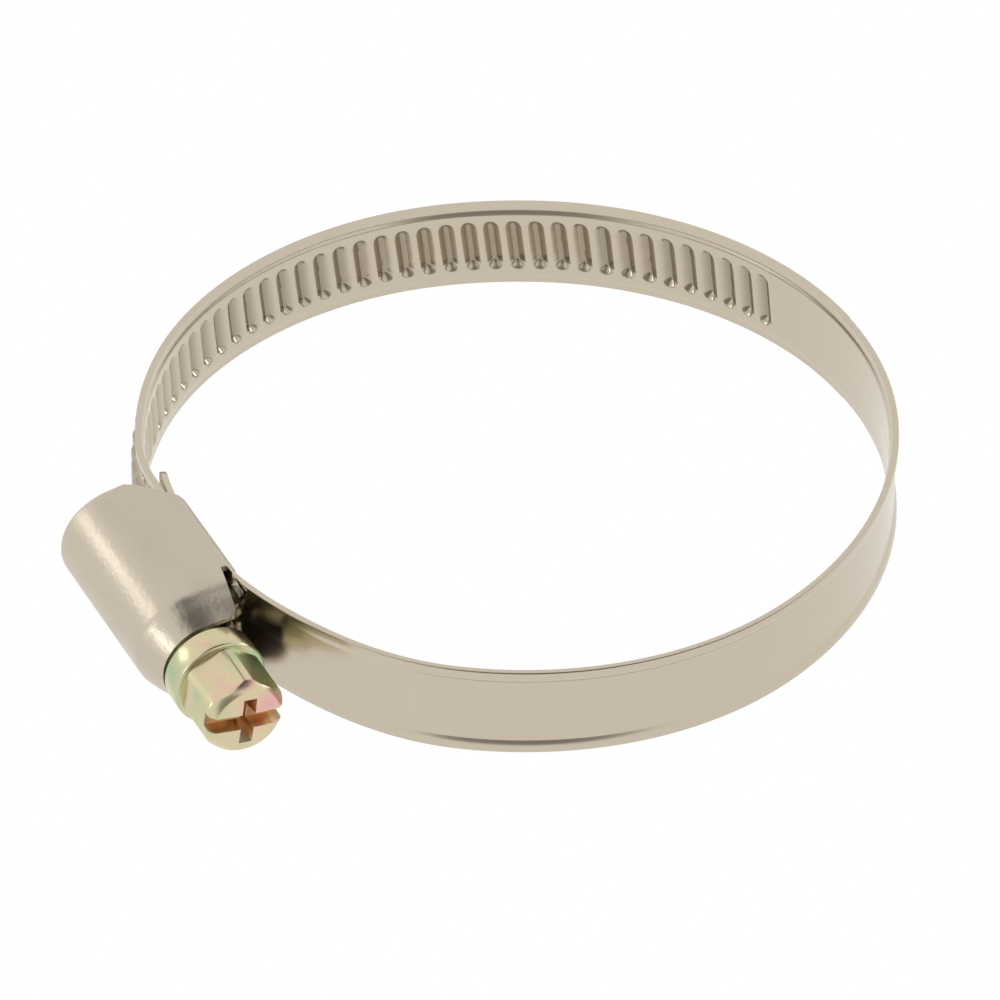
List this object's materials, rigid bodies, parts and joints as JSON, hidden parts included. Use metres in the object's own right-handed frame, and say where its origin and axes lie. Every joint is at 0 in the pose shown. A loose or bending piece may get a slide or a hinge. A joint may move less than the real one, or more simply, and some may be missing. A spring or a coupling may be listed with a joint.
{
  "type": "hose clamp",
  "caption": "Worm-drive hose clamp: a round embossed steel band with rolled edges, a pressed screw housing and a hex-head screw with a combined slot and cross recess.",
  "frame": {"origin": "centre of the hose bore, in the middle of the band's width", "axes": "+Z along the hose axis, the housing on the -Y side, the screw along X with its head towards +X"},
  "size_m": [0.067, 0.0746, 0.0114],
  "materials": {
    "housing": "fine tumbled matte sheen",
    "band": "smooth rolled, nearly mirror bright",
    "screw": "yellow passivated zinc plating, iridescent"
  },
  "bodies": {
    "clamp": {"housing": "housing", "band": "band"},
    "screw": {"screw": "screw"},
    "tail": {"free_end": "band"}
  },
  "joints": [
    {"name": "screw_turn", "type": "hinge", "parent": "clamp", "child": "screw", "pos_m": [0, -0.037, 0], "axis": [-1, 0, 0], "range_deg": [-720, 1080]},
    {"name": "band_feed", "type": "hinge", "parent": "clamp", "child": "tail", "pos_m": [0, 0, 0], "axis": [0, 0, 1], "range_deg": [-6.95, 10.41], "deforming": ["band"]}
  ],
  "couplings": [
    {"joint": "band_feed", "follows": "screw_turn", "ratio": 0.009589}
  ]
}
